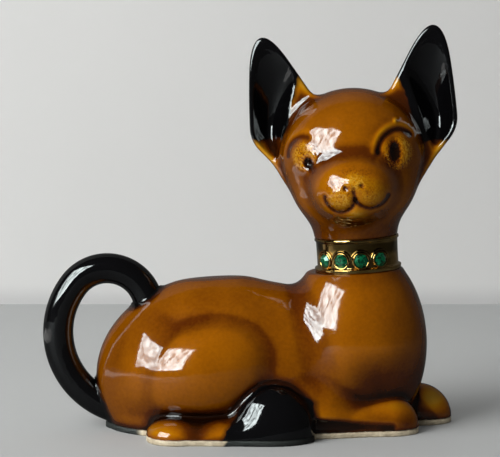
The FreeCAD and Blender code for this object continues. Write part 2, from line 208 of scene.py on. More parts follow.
def tail_line(points):
    """Distance from the tail's middle line, which is two arcs in the body's middle plane."""
    sweep_at, meeting = tail_places()
    best = None
    for centre, radius, first, last in ((ARCH_AT, ARCH_RADIUS, 0.0, meeting),
                                        (sweep_at, SWEEP_RADIUS, meeting, TAIL_END)):
        offset = points - centre
        angle = np.clip(np.arctan2(offset[:, 2], offset[:, 0]) % (2 * math.pi), first, last)
        nearest = centre + radius * np.stack([np.cos(angle), 0 * angle, np.sin(angle)], axis=1)
        gap = np.linalg.norm(points - nearest, axis=1)
        best = gap if best is None else np.minimum(best, gap)
    return best


def tail(points):
    """The whole tail as a field."""
    return tail_line(points) - TAIL_RADIUS


def seat(points):
    """What the collar needs out of the neck."""
    local = in_frame(points, NECK_AT, NECK_TURN)
    radius = np.hypot(local[:, 0], local[:, 1])
    return np.maximum(np.abs(local[:, 2]) - COLLAR_HEIGHT / 2, SEAT_RADIUS - radius)


def skull(local):
    """Skull, cheeks and jaw in the head's frame."""
    round_skull = oval(local, (0, 0, 0), (24.7, 20.9, 22.9))
    jaw = oval(local, (0, -6, -12.5), (18.8, 15.3, 12.4))
    return blend(round_skull, jaw, 6.0)


def swell(distance, width):
    """A soft round profile: 1 on the line, falling to nothing within about two widths."""
    return np.exp(-(distance / width) ** 2)


def arc_line(across, up, centre, radius, first, last):
    """Distance in the face's plane from an arc that runs from the first angle to the last, in degrees."""
    offset_x = across - centre[0]
    offset_z = up - centre[1]
    middle = math.radians((first + last) / 2)
    half = math.radians((last - first) / 2)
    angle = (np.arctan2(offset_z, offset_x) - middle + math.pi) % (2 * math.pi) - math.pi
    angle = np.clip(angle, -half, half) + middle
    return np.hypot(offset_x - radius * np.cos(angle), offset_z - radius * np.sin(angle))


# Each eye: middle, dimple's middle and half-sizes, brow's radius, its ends in degrees and its depth
EYES = (
    ((-15.6, 1.4), (-14.3, -0.8), (1.7, 1.8), 6.6, 75, 175, 0.28),
    ((15.6, 0.6), (14.4, 1.4), (2.3, 3.7), 7.6, 50, 172, 0.6),
)
EYE_LEAN = math.cos(math.radians(30.0))


def pupil_reach(local, dimple, size):
    """Distance from a pupil's middle, 1 at its rim."""
    return np.hypot((local[:, 0] - dimple[0]) / EYE_LEAN / size[0], (local[:, 2] - dimple[1]) / size[1])


def eye_relief(local, middle, dimple, dimple_size, brow_radius, brow_first, brow_last, brow_depth):
    """Height of an eye over the skull: a raised ring, a dimple for the pupil and a creased brow."""
    across = (local[:, 0] - middle[0]) / EYE_LEAN
    up = local[:, 2] - middle[1]
    reach = np.hypot(across, up)
    ring = 0.42 * swell(np.maximum(reach - 3.4, 0), 1.5)
    pupil = -1.5 * np.exp(-pupil_reach(local, dimple, dimple_size) ** 2 * 1.1)
    brow_line = arc_line(across, up, (0, 0), brow_radius, brow_first, brow_last)
    brow = -brow_depth * swell(brow_line, 1.15)
    lid = 0.45 * brow_depth * swell(arc_line(across, up, (0, 0), brow_radius + 1.9, brow_first, brow_last), 1.2)
    return ring + pupil + brow + lid


# The mouth: two lip arcs with middle, radius and ends in degrees, and the line down from the nose
LIPS = (((-4.1, -11.9), 5.0, 178, 345), ((6.0, -10.2), 6.0, 208, 336))
NOSE_AT = (0.6, -7.0)
NOSTRILS = ((-2.2, -9.1), (3.1, -8.6))


def mouth_relief(local):
    """Height of nose, nostrils, lips and lower lip over the muzzle."""
    across = local[:, 0]
    up = local[:, 2]
    nose = 0.88 * np.exp(-(((across - NOSE_AT[0]) / 4.0) ** 2 + ((up - NOSE_AT[1]) / 2.7) ** 2) ** 1.5)
    height = nose
    for middle in NOSTRILS:
        height = height - 0.7 * swell(np.hypot(across - middle[0], up - middle[1]), 0.85)
    parting = np.hypot(across - 0.6, up - np.clip(up, -13.0, -9.6))
    height = height - 0.35 * swell(parting, 0.6)
    for centre, radius, first, last in LIPS:
        height = height - 0.45 * swell(arc_line(across, up, centre, radius, first, last), 0.85)
        pad = np.hypot(across - centre[0], up - centre[1] + 0.3)
        height = height + 0.75 * np.exp(-(pad / (radius * 0.8)) ** 4)
    lower = np.hypot((across - 0.9) / 3.4, (up + 18.2) / 1.9)
    return height + 0.7 * np.exp(-lower ** 2)


def face(local):
    """The skull with its muzzle, nose, mouth, eyes and brows."""
    form = skull(local)
    muzzle = oval(local, (0, -17.05, -9.6), (13.8, 11.6, 11.2))
    form = blend(form, muzzle, 3.2)
    front = np.clip(-(local[:, 1] + 6.0) / 4.0, 0, 1)
    relief = mouth_relief(local)
    for eye in EYES:
        relief = relief + eye_relief(local, *eye)
    wart = np.hypot(local[:, 0] - 15.4, local[:, 2] - 11.4)
    return form - front * (relief + 0.6 * swell(wart, 0.8))


# Ears, in the head's frame with the ear's own side as +X
EAR_SHIFT = 1.0
EAR_INNER_LEAN = math.radians(30.6)
EAR_INNER_AT = -0.3
EAR_BOW_RADIUS = 274.0
EAR_BOW_AT = (35.3, 5.0)
EAR_LOBE_LEAN = math.radians(41.0)
EAR_LOBE_AT = 22.0
EAR_FOOT = -10.0
EAR_FRONT_Y = -2.9
EAR_RIM = 1.8
EAR_WALL = 1.4


def press(first, second, soft):
    """Only what two forms share, with a rounded edge."""
    return -blend(-first, -second, soft)


def ear_side_view(local, side):
    """Points with the ear's own side as +X and its shift taken out."""
    return (local - np.array([EAR_SHIFT, 0, 0])) * np.array([side, 1.0, 1.0])


def ear_leaf(flat):
    """Distance inside the ear's leaf: an inner slope, a bowed outer edge and a short slope under the lobe."""
    across = flat[:, 0]
    up = flat[:, 2]
    inner = up * math.sin(EAR_INNER_LEAN) - across * math.cos(EAR_INNER_LEAN) - EAR_INNER_AT
    outer = np.hypot(across + EAR_BOW_RADIUS - EAR_BOW_AT[0], up - EAR_BOW_AT[1]) - EAR_BOW_RADIUS
    lobe = across * math.cos(EAR_LOBE_LEAN) - up * math.sin(EAR_LOBE_LEAN) - EAR_LOBE_AT
    return press(press(press(inner, outer, 13.5), lobe, 3.0), EAR_FOOT - up, 6.0)


def ear_depth(flat):
    """How far the ear's back bulges behind its rim at each height."""
    return 8.6 - 5.6 * ease(flat[:, 2], 6.0, 42.0)


def dome(depth, width):
    """A round profile: 0 at the edge, 1 from the given width inwards."""
    share = 1 - np.clip(depth / width, 0, 1)
    return np.sqrt(np.maximum(1 - share ** 2, 0.0))


def ear_shell(local, side):
    """The ear's outer form: a leaf, round behind and flat in front."""
    flat = ear_side_view(local, side)
    leaf = ear_leaf(flat)
    back = EAR_FRONT_Y + EAR_RIM + ear_depth(flat) * dome(-leaf + 0.4, 9.0)
    slab = press(EAR_FRONT_Y - flat[:, 1], (flat[:, 1] - back) * 0.7, 1.2)
    return press(leaf, slab, 1.6)


def ear_hollow(local, side):
    """The hollow in the ear's front: steep walls and a round bottom."""
    flat = ear_side_view(local, side)
    slope_in = 25.6 - 0.96 * flat[:, 0] - 0.28 * flat[:, 2]
    edge = press(ear_leaf(flat) + EAR_WALL, slope_in, 3.0)
    bowl = 1 - (1 - np.clip(-edge / 7.5, 0, 1)) ** 2
    floor = EAR_FRONT_Y + 0.2 + (ear_depth(flat) - 1.0) * bowl
    return press(edge, (flat[:, 1] - floor) * 0.6, 0.5)


def head(points):
    """The whole head with neck and both ears, as one form."""
    local = in_head(points)
    form = blend(face(local), neck(points), 5.0)
    for side in (-1, 1):
        form = blend(form, ear_shell(local, side), 4.0)
        form = carve(form, ear_hollow(local, side), 0.9)
    return form


def under_roll(points, side):
    """The hollow under the forearm's rolled edge, where the colour gets pooled glaze and painted shade."""
    ahead = reach_ahead(side)
    return limb(points, (3 + ahead, side * 25.0, 3.9), (36 + ahead, side * 18.6, 3.0), 4.3, 1.8)


def body(points):
    """Trunk, neck, legs and tail as one form."""
    form = blend(trunk(points), neck(points), 5.0)
    for side in (-1, 1):
        reach = points[:, 0] - reach_ahead(side)
        soft = 1.6 + 8.0 * ease(reach, 30.0, 12.0)
        form = blend(form, fore_leg(points, side), soft)
        form = carve(form, under_roll(points, side), 1.5)
    for side in (-1, 1):
        form = blend(form, hind_leg(points, side), 1.6)
    return blend(form, tail(points), 2.5)


BODY_TOP = 74.0
HEAD_LOW = 56.0


def whole_clay(points):
    """All the clay forms together, as the glaze covers them."""
    form = np.full(len(points), 99.0)
    low = points[:, 2] < BODY_TOP
    high = points[:, 2] > HEAD_LOW
    form[low] = body(points[low])
    form[high] = np.minimum(form[high], head(points[high]))
    return form


def figure(points):
    """The clay with the collar's seat cut in."""
    return press(whole_clay(points), -seat(points), 0.8)


def in_parts(field, points, size=200000):
    """A field's values, worked out a part at a time to save memory."""
    return np.concatenate([field(points[i:i + size]) for i in range(0, len(points), size)])


def near_surface(field, axes, step):
    """Field values on a grid: exact close to the surface, and only the sign elsewhere."""
    counts = [len(axis) for axis in axes]
    coarse = 4
    rough_axes = [axis[::coarse] for axis in axes]
    rough = np.stack(np.meshgrid(*rough_axes, indexing="ij"), axis=-1)
    value = in_parts(field, rough.reshape(-1, 3)).reshape(rough.shape[:3])
    nearest = [np.minimum((np.arange(n) + coarse // 2) // coarse, len(r) - 1) for n, r in zip(counts, rough_axes)]
    full = value[np.ix_(*nearest)]
    close = np.abs(full) < coarse * step * 2.0
    where = np.argwhere(close)
    points = np.stack([axes[i][where[:, i]] for i in range(3)], axis=1)
    full[close] = in_parts(field, points)
    return full


def skin(field, low, high, step):
    """A closed net of quads on the field's surface, from a grid with the given step."""
    axes = [np.arange(low[i] - 2 * step, high[i] + 3 * step, step) for i in range(3)]
    value = near_surface(field, axes, step)
    inside = value < 0
    cells = np.array(value.shape) - 1
    total = np.zeros((*cells, 3))
    found = np.zeros(cells)
    crossings = []
    for axis in range(3):
        before = [slice(None)] * 3
        after = [slice(None)] * 3
        before[axis] = slice(0, -1)
        after[axis] = slice(1, None)
        first = value[tuple(before)]
        second = value[tuple(after)]
        cross = inside[tuple(before)] != inside[tuple(after)]
        share = np.where(cross, first / np.where(cross, first - second, 1.0), 0.0)
        place = np.stack(np.meshgrid(*[a[b] for a, b in zip(axes, before)], indexing="ij"), axis=-1)
        place[..., axis] += share * step
        place *= cross[..., None]
        others = [i for i in range(3) if i != axis]
        for shift in product((0, 1), repeat=2):
            cut = [slice(None)] * 3
            for other, move in zip(others, shift):
                cut[other] = slice(move, move + cells[other])
            total += place[tuple(cut)]
            found += cross[tuple(cut)]
        crossings.append((cross, inside[tuple(before)]))
    used = found > 0
    number = np.full(cells, -1)
    number[used] = np.arange(used.sum())
    points = total[used] / found[used][:, None]
    return points, np.concatenate([quads(axis, *crossings[axis], number) for axis in range(3)])


def quads(axis, cross, from_inside, number):
    """The quads round the grid edges of one axis that the surface crosses, facing outwards."""
    u = (axis + 1) % 3
    v = (axis + 2) % 3
    at = np.argwhere(cross)
    at = at[(at[:, u] > 0) & (at[:, v] > 0) & (at[:, u] < number.shape[u]) & (at[:, v] < number.shape[v])]
    corners = []
    for move_u, move_v in ((1, 1), (0, 1), (0, 0), (1, 0)):
        cell = at.copy()
        cell[:, u] -= move_u
        cell[:, v] -= move_v
        corners.append(number[tuple(cell.T)])
    faces = np.stack(corners, axis=1)
    outward = from_inside[tuple(at.T)]
    faces[~outward] = faces[~outward][:, ::-1]
    return faces


def slope(field, points, reach=0.05):
    """The field's gradient, which points out of the clay."""
    steps = reach * np.eye(3)
    return np.stack([field(points + step) - field(points - step) for step in steps], axis=1) / (2 * reach)


def settle(field, points, limit, rounds=3):
    """Points moved onto the field's surface."""
    for _ in range(rounds):
        rise = slope(field, points)
        steep = np.maximum(np.sum(rise ** 2, axis=1), 0.05)
        move = rise * (field(points) / steep)[:, None]
        length = np.maximum(np.linalg.norm(move, axis=1), 1e-9)
        points = points - move * np.minimum(1.0, limit / length)[:, None]
    return points


def even_out(points, faces):
    """Every point moved halfway to the mean of its neighbours."""
    total = np.zeros_like(points)
    count = np.zeros(len(points))
    for k in range(4):
        here = faces[:, k]
        for other in (faces[:, (k + 1) % 4], faces[:, (k + 3) % 4]):
            for axis in range(3):
                total[:, axis] += np.bincount(here, points[other, axis], len(points))
            count += np.bincount(here, minlength=len(points))
    return 0.5 * points + 0.5 * total / np.maximum(count, 1)[:, None]


def bend(form, points, reach):
    """How the surface curves within a reach: above zero on ridges, below zero in creases."""
    around = sum(form(points + step) + form(points - step) for step in reach * np.eye(3))
    return (around - 6 * form(points)) / reach ** 2


def mesh_object(name, points, faces, normals=None, marks=None):
    """A mesh object from points in millimetres, with smooth normals and named marks at its points."""
    mesh = bpy.data.meshes.new(name)
    mesh.from_pydata((points * MM).tolist(), [], faces.tolist())
    mesh.polygons.foreach_set("use_smooth", np.ones(len(faces), bool))
    for mark, values in (marks or {}).items():
        layer = mesh.attributes.new(mark, "FLOAT", "POINT")
        layer.data.foreach_set("value", values.astype(np.float32))
    if normals is not None:
        mesh.normals_split_custom_set_from_vertices(normals.tolist())
    piece = bpy.data.objects.new(name, mesh)
    bpy.context.collection.objects.link(piece)
    return piece


def clay(name, own, low, high, step, sunk=0.0, marks=()):
    """One glazed piece: the figure's skin inside the region that is this piece's own."""

    def skin_field(points):
        return figure(points) + sunk

    def field(points):
        return np.maximum(skin_field(points), own(points))

    points, faces = skin(field, low, high, step)
    points = settle(field, points, step)
    points = settle(field, even_out(points, faces), step)
    on_skin = np.abs(skin_field(points)) < 0.3
    normals = np.where(on_skin[:, None], slope(figure, points), slope(own, points))
    normals /= np.maximum(np.linalg.norm(normals, axis=1), 1e-9)[:, None]
    values = {"fine_bend": bend(whole_clay, points, 0.9), "broad_bend": bend(whole_clay, points, 3.2)}
    for mark, form in marks:
        values[mark] = form(points)
    return mesh_object(name, points, faces, normals, values)


# Which clay belongs to which piece
OVERLAP = 0.5


def under_collar(points):
    """Height along the neck from the joint under the collar."""
    return in_frame(points, NECK_AT, NECK_TURN)[:, 2]


def over_base(points):
    """Depth below the top of the bare rim, where no glazed piece reaches."""
    return BASE_TOP - 0.05 - points[:, 2]


def limbs(points):
    """The nearest of the legs and the tail."""
    fields = [tail(points)]
    for side in (-1, 1):
        fields.append(hind_leg(points, side))
        fields.append(fore_leg(points, side))
    return np.minimum.reduce(fields)


def own_torso(points):
    """The trunk away from legs and tail, under the collar's joint."""
    apart = trunk(points) - limbs(points) - OVERLAP
    return np.maximum.reduce([apart, under_collar(points), over_base(points)])


def own_head(points):
    """Skull, face and upper neck away from the ears."""
    local = in_head(points)
    skull_side = np.minimum(face(local), neck(points))
    ears = np.minimum(ear_shell(local, -1), ear_shell(local, 1))
    return np.maximum(skull_side - ears - OVERLAP, -under_collar(points))


def own_ear(side):
    """The region where this ear stands out of the skull."""

    def own(points):
        local = in_head(points)
        return ear_shell(local, side) - face(local) - OVERLAP

    return own


def own_leg(leg, side):
    """The region where this leg is nearer than the trunk and the other legs."""
    others = [(form, way) for form, way in product((hind_leg, fore_leg), (-1, 1)) if (form, way) != (leg, side)]

    def own(points):
        rest = np.minimum.reduce([trunk(points)] + [form(points, way) for form, way in others])
        return np.maximum(leg(points, side) - rest - OVERLAP, over_base(points))

    return own


def pools_and_painted_light(points):
    """Where the glaze is darker: pooled glaze and painted shade under the forearm rolls, along the hind legs' seams,
    just above the base, over the hind shanks, low on the chest and between the forepaws; 1 in the darkest places, and
    lower where painted light lifts the forepaw tops.
    """
    low = points[:, 2] < HEAD_LOW + 8
    darkening = np.zeros(len(points))
    near = points[low]
    under = np.full(len(near), 9.0)
    for side in (-1, 1):
        under = np.minimum(under, np.maximum(under_roll(near, side), -0.5))
        seam = np.abs(hind_leg(near, side) - trunk(near)) * 0.5
        beside = np.maximum(hind_leg(near, side), trunk(near))
        under = np.minimum(under, np.hypot(seam, np.maximum(beside, 0)) + 0.35)
    rim = np.clip(near[:, 2] - BASE_TOP, 0, 9)
    # Pooled glaze and painted shade under the forearm rolls, along the seams of the hind legs and just above the base
    runs_and_shade = np.maximum(0.85 * swell(under, 1.5), 0.8 * swell(rim, 1.5))
    # Pooled glaze and painted shade in the channel above each hind shank
    shank = 0.95 * swell(near[:, 0] + 30.0, 5.5) * ease(near[:, 2], 10.5, 7.5) * (np.abs(near[:, 1]) > 15)
    # Painted shade in the gap between the forepaws
    gap = ease(56.3 - near[:, 0] - 0.84 * near[:, 2], -1.5, 1.5) * ease(near[:, 0], 38.0, 44.0)
    gap = gap * ease(near[:, 1], -1.5, 0.0) * ease(near[:, 1], 13.0, 9.0) * ease(near[:, 2], 16.0, 13.0)
    # Painted shade low on the chest, where it curves under
    low_chest = 0.5 * ease(near[:, 2], 36.0, 15.0) * ease(near[:, 0], 18.0, 34.0)
    # The painted light on the forepaw tops is taken off the darkening
    darkening[low] = np.maximum.reduce([runs_and_shade, shank, 1.1 * gap, low_chest]) - painted_paw_light(near)
    return darkening


def painted_paw_light(points):
    """Painted light on the tops of the forepaws, lifting them out of the chest's shade: 0 to 1."""
    near_paw = np.linalg.norm((points - np.array([34.0, -10.0, 10.0])) / np.array([11.0, 7.0, 3.6]), axis=1)
    far_paw = np.linalg.norm((points - np.array([51.5, 5.0, 9.0])) / np.array([5.6, 8.0, 4.2]), axis=1)
    return 1.1 * swell(near_paw, 1.0) + 1.6 * swell(far_paw, 1.0)


def eye_marks(points):
    """The dark pupils, from 0 to 1."""
    local = in_head(points)
    dark = np.zeros(len(points))
    for _, dimple, size, *_ in EYES:
        dark = np.maximum(dark, swell(pupil_reach(local, dimple, size), 1.0) * (local[:, 1] < -8))
    return dark


def golden(points):
    """Where the glaze is thin, golden and speckled: eye rings, nose and lip pads."""
    local = in_head(points)
    across = local[:, 0]
    up = local[:, 2]
    gold = 0.9 * swell(np.hypot((across - NOSE_AT[0]) / 5.4, (up - NOSE_AT[1] + 0.4) / 3.6), 1.0)
    gold = np.maximum(gold, 0.9 * swell(np.hypot(across - LIPS[0][0][0], up - LIPS[0][0][1]) / 4.4, 1.0))
    gold = np.maximum(gold, 0.6 * swell(np.hypot(across - LIPS[1][0][0], up - LIPS[1][0][1] + 1.0) / 4.4, 1.0))
    gold = np.maximum(gold, 0.28 * swell(np.hypot((across - 0.9) / 3.4, (up + 18.2) / 2.0), 1.0))
    for middle, _, _, brow_radius, *_ in EYES:
        reach = np.hypot((across - middle[0]) / EYE_LEAN, up - middle[1])
        ring = 0.68 * brow_radius
        gold = np.maximum(gold, ease(reach, ring + 1.2, ring - 0.6))
    return gold * (local[:, 1] < -6) * (points[:, 2] > HEAD_LOW)


def black_side(points):
    """How far inside the black glaze a point lies; below zero it is amber."""
    root = 1.6 - tail(points)
    line = (points[:, 0] + 22.9 - 0.67 * points[:, 2]) / 1.2
    form = np.full(len(points), -9.0)
    for side in (-1, 1):
        crease = 0.7 * (np.minimum(trunk(points), fore_leg(points, side)) - hind_leg(points, side))
        form = np.maximum(form, np.minimum(line, crease))
    local = in_head(points)
    for side in (-1, 1):
        form = np.maximum(form, ear_black(local, side))
    return np.maximum(form, root)


def ear_black(local, side):
    """Black covers an ear's front inside a slanting line, and its whole tip."""
    flat = ear_side_view(local, side)
    slant = 0.96 * flat[:, 0] + 0.28 * flat[:, 2] - (24.6 if side < 0 else 22.6)
    low = (flat[:, 2] - (7.5 if side < 0 else 3.0)) * 0.8
    front = EAR_FRONT_Y + 3.2 - flat[:, 1]
    face_part = np.minimum.reduce([slant, low, np.maximum(front, 1.0 - ear_hollow(local, side))])
    tip = flat[:, 2] - 32.0 + 0.5 * (flat[:, 0] - 24.0)
    return np.minimum(np.maximum(face_part, tip), 2.0 - ear_shell(local, side))


# Room round an ear's box for its lobe, which runs further down the cheek than the solid's
LOBE_ROOM = 9.0


def box_of(node, room=1.5):
    """A CAD node's box in millimetres, with some room round it."""
    low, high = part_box(node)
    return np.array(low) / MM - room, np.array(high) / MM + room


def make_clay():
    """Every glazed piece but the tail, as (piece, node, slot)."""
    marks = (("black_side", black_side), ("pools_and_painted_light", pools_and_painted_light), ("golden", golden), ("dark_eye", eye_marks))
    torso = clay("glazed_torso", own_torso, *box_of("torso_casting"), 0.8, 0.0, marks)
    head_piece = clay("glazed_head", own_head, *box_of("head_casting"), 0.5, 0.0, marks)
    made = [(torso, "torso_casting", "amber_glaze"), (head_piece, "head_casting", "amber_glaze")]
    for side, word in ((-1, "right"), (1, "left")):
        for leg, node, slot, sunk in ((fore_leg, "foreleg", "amber_glaze", 0.02),
                                      (hind_leg, "hind_foot", "hind_foot_glaze", 0.04)):
            place = box_of(f"{word}_{node}")
            piece = clay(f"glazed_{node}_{word}", own_leg(leg, side), *place, 0.6, sunk, marks)
            made.append((piece, f"{word}_{node}", slot))
        ear = clay(f"glazed_ear_{word}", own_ear(side), *box_of(f"{word}_ear", LOBE_ROOM), 0.5, 0.02, marks)
        made.append((ear, f"{word}_ear", "ear_glaze"))
    return made


def make_base():
    """The bare clay rim under the body, with the vent in its middle."""
    def field(points):
        foot = points.copy()
        foot[:, 2] = BASE_TOP + 0.3
        edge = body(foot) + 0.1
        vent = np.hypot(points[:, 0] + 24.0, points[:, 1]) - 4.0
        return np.maximum.reduce([edge, points[:, 2] - BASE_TOP, -points[:, 2], -vent])

    points, faces = skin(field, *box_of("base_plate"), 0.6)
    points = settle(field, points, 0.6)
    points[:, 2] = np.maximum(points[:, 2], 0.0)
    stain = black_side(points + np.array([0, 0, 3.0]))
    # Painted shadow on the rim's end under the rump; it goes into the black_side mark beside the real black stain
    # under the paw
    painted_rump_shadow = 1.4 * ease(points[:, 0], -46.5, -51.0) - 1.0
    marks = {"black_side": np.maximum(np.where(points[:, 0] > -40.0, stain, -9.0), painted_rump_shadow)}
    return mesh_object("bare_rim", points, faces, None, marks)


def lathe(name, profile, turns=160):
    """A ring turned from a closed profile of (radius, height) points, in the collar's frame."""
    profile = np.asarray(profile, float)
    angles = np.arange(turns) * 2 * math.pi / turns
    radius = profile[None, :, 0]
    spun = np.stack([radius * np.cos(angles)[:, None], radius * np.sin(angles)[:, None],
                     np.broadcast_to(profile[None, :, 1], (turns, len(profile)))], axis=-1)
    points = spun.reshape(-1, 3) @ NECK_TURN.T + NECK_AT
    i, j = np.meshgrid(np.arange(turns), np.arange(len(profile)), indexing="ij")
    after_i = (i + 1) % turns
    after_j = (j + 1) % len(profile)
    width = len(profile)
    faces = np.stack([i * width + j, after_i * width + j, after_i * width + after_j, i * width + after_j], axis=-1)
    return mesh_object(name, points, faces.reshape(-1, 4))


def rounded(corners, radius, steps=5):
    """A closed profile with its corners rounded."""
    corners = np.asarray(corners, float)
    made = []
    for k in range(len(corners)):
        before = corners[k - 1] - corners[k]
        after = corners[(k + 1) % len(corners)] - corners[k]
        start = corners[k] + before / np.linalg.norm(before) * radius
        end = corners[k] + after / np.linalg.norm(after) * radius
        for t in np.linspace(0, 1, steps):
            made.append((1 - t) ** 2 * start + 2 * t * (1 - t) * corners[k] + t ** 2 * end)
    return made


# Collar: half-height, seat, wall and the rolled rims
BAND_HALF = COLLAR_HEIGHT / 2
BAND_IN = 12.35
BAND_OUT = 13.9
RIM_OUT = 14.7


def make_collar():
    """The gilt band: a flared cuff with rolled rims."""
    lower_rim = [(BAND_IN, -BAND_HALF), (RIM_OUT, -BAND_HALF), (RIM_OUT + 0.2, -BAND_HALF + 1.3),
                 (BAND_OUT, -BAND_HALF + 1.7)]
    upper_rim = [(BAND_OUT + 0.1, BAND_HALF - 1.2), (RIM_OUT - 0.2, BAND_HALF - 0.9), (RIM_OUT - 0.3, BAND_HALF),
                 (BAND_IN, BAND_HALF)]
    return lathe("gilt_band", rounded(lower_rim + [(BAND_OUT, 0.0)] + upper_rim, 0.28))


def add(tree, kind, links=None, **settings):
    """A node in a tree, with settings and with its inputs set to values or linked to outputs."""
    made = tree.nodes.new(kind)
    for key, value in settings.items():
        setattr(made, key, value)
    for key, value in (links or {}).items():
        if isinstance(value, bpy.types.NodeSocket):
            tree.links.new(value, made.inputs[key])
        else:
            made.inputs[key].default_value = value
    return made


def math_node(tree, kind, first, second=0.0, clamp=False):
    """One step of arithmetic."""
    return add(tree, "ShaderNodeMath", {0: first, 1: second}, operation=kind, use_clamp=clamp).outputs[0]


def vector_node(tree, kind, first, second):
    """One step of arithmetic on a vector."""
    key = "Scale" if kind == "SCALE" else 1
    return add(tree, "ShaderNodeVectorMath", {0: first, key: second}, operation=kind).outputs[0]


def vector_of(tree, **parts):
    """A vector from its X, Y and Z."""
    return add(tree, "ShaderNodeCombineXYZ", parts).outputs[0]


def group_tree(name, kind, inputs, outputs):
    """A node group with its named inputs and outputs; gives the tree and what comes in."""
    tree = bpy.data.node_groups.new(name, kind)
    for title, socket, value in inputs:
        made = tree.interface.new_socket(title, in_out="INPUT", socket_type="NodeSocket" + socket)
        if value is not None:
            made.default_value = value
    for title, socket in outputs:
        tree.interface.new_socket(title, in_out="OUTPUT", socket_type="NodeSocket" + socket)
    return tree, add(tree, "NodeGroupInput").outputs


def shape_tree(name, inputs):
    """A geometry tree with its named inputs."""
    return group_tree(name, "GeometryNodeTree", inputs, [("Geometry", "Geometry")])


def end_shape(tree, shape, material, smooth=True):
    """The last steps of every geometry tree: smooth shading, real geometry and its material."""
    if smooth:
        shape = add(tree, "GeometryNodeSetShadeSmooth", {0: shape}).outputs[0]
    real = add(tree, "GeometryNodeRealizeInstances", {0: shape})
    painted = add(tree, "GeometryNodeSetMaterial", {"Geometry": real.outputs[0], "Material": material})
    add(tree, "NodeGroupOutput", {0: painted.outputs[0]})
    return tree


def join(tree, shapes):
    """Shapes put together, in the order given."""
    both = add(tree, "GeometryNodeJoinGeometry")
    for shape in shapes:
        tree.links.new(shape, both.inputs[0])
    return both.outputs[0]


def set_input(tree, modifier, name, value):
    """A modifier input of a geometry tree, found by its plain name."""
    for item in tree.interface.items_tree:
        if item.item_type == "SOCKET" and item.in_out == "INPUT" and item.name == name:
            modifier[item.identifier] = value


def run_tree(tree, name, values):
    """The plain mesh that a geometry tree makes."""
    carrier = bpy.data.objects.new(name + "_maker", bpy.data.meshes.new(name + "_maker"))
    bpy.context.collection.objects.link(carrier)
    modifier = carrier.modifiers.new("tree", "NODES")
    modifier.node_group = tree
    for key, value in values.items():
        set_input(tree, modifier, key, value)
    bpy.context.view_layer.update()
    shaped = carrier.evaluated_get(bpy.context.evaluated_depsgraph_get())
    mesh = bpy.data.meshes.new_from_object(shaped)
    mesh.name = name
    piece = bpy.data.objects.new(name, mesh)
    bpy.context.collection.objects.link(piece)
    bpy.data.objects.remove(carrier)
    return piece


def tail_tree(glaze):
    """The tail: a round cord of clay along two arcs, from the rump over and down to the base."""
    tree, given = shape_tree("tail along two arcs", (
        ("Arch radius", "Float", ARCH_RADIUS * MM), ("Sweep radius", "Float", SWEEP_RADIUS * MM),
        ("Thickness", "Float", TAIL_RADIUS * MM), ("Meeting angle", "Float", 2.5), ("First angle", "Float", 0.0),
        ("Last angle", "Float", TAIL_END), ("Arch centre", "Vector", None), ("Sweep centre", "Vector", None),
        ("Glaze", "Material", glaze)))
    arcs = []
    for part, first, last in (("Arch", "First angle", "Meeting angle"), ("Sweep", "Meeting angle", "Last angle")):
        line = add(tree, "GeometryNodeCurvePrimitiveLine", {"Start": (0, 0, 0), "End": (1, 0, 0)})
        fine = add(tree, "GeometryNodeResampleCurve", {"Curve": line.outputs[0], "Count": 96})
        share = add(tree, "GeometryNodeSplineParameter").outputs["Factor"]
        angle = spread(tree, share, 0.0, 1.0, given[first], given[last])
        side = vector_of(tree, X=math_node(tree, "COSINE", angle), Z=math_node(tree, "SINE", angle))
        reach = vector_node(tree, "SCALE", side, given[part + " radius"])
        place = vector_node(tree, "ADD", reach, given[part + " centre"])
        moved = add(tree, "GeometryNodeSetPosition", {"Geometry": fine.outputs[0], "Position": place})
        arcs.append(moved.outputs[0])
    ring = add(tree, "GeometryNodeCurvePrimitiveCircle", {"Resolution": 48, "Radius": given["Thickness"]})
    rod = add(tree, "GeometryNodeCurveToMesh", {"Curve": join(tree, reversed(arcs)), "Profile Curve": ring.outputs[0],
                                                "Fill Caps": True})
    return end_shape(tree, rod.outputs[0], given["Glaze"])


def make_tail(glaze):
    """The tail as a mesh."""
    sweep_at, meeting = tail_places()
    values = {"Arch centre": tuple(ARCH_AT * MM), "Sweep centre": tuple(sweep_at * MM), "Meeting angle": meeting,
              "Glaze": glaze}
    return run_tree(tail_tree(glaze), "glazed_tail", values)


# Stones and their bezels
STONE_COUNT = 4
STONE_RADIUS = 2.3
STONE_SPACING = 28.0
STONE_ROW_ANGLE = -12.8
STONE_ROW_DROP = 1.4
STONE_FACETS = 8
BEZEL_OUT = BAND_OUT + 0.35


def leant(tree, shape, given):
    """A shape tipped with the neck and moved to it."""
    lean = vector_of(tree, Y=math_node(tree, "MULTIPLY", given["Lean"], -1.0))
    return add(tree, "GeometryNodeTransform", {"Geometry": shape, "Rotation": lean,
                                               "Translation": given["Neck"]}).outputs[0]


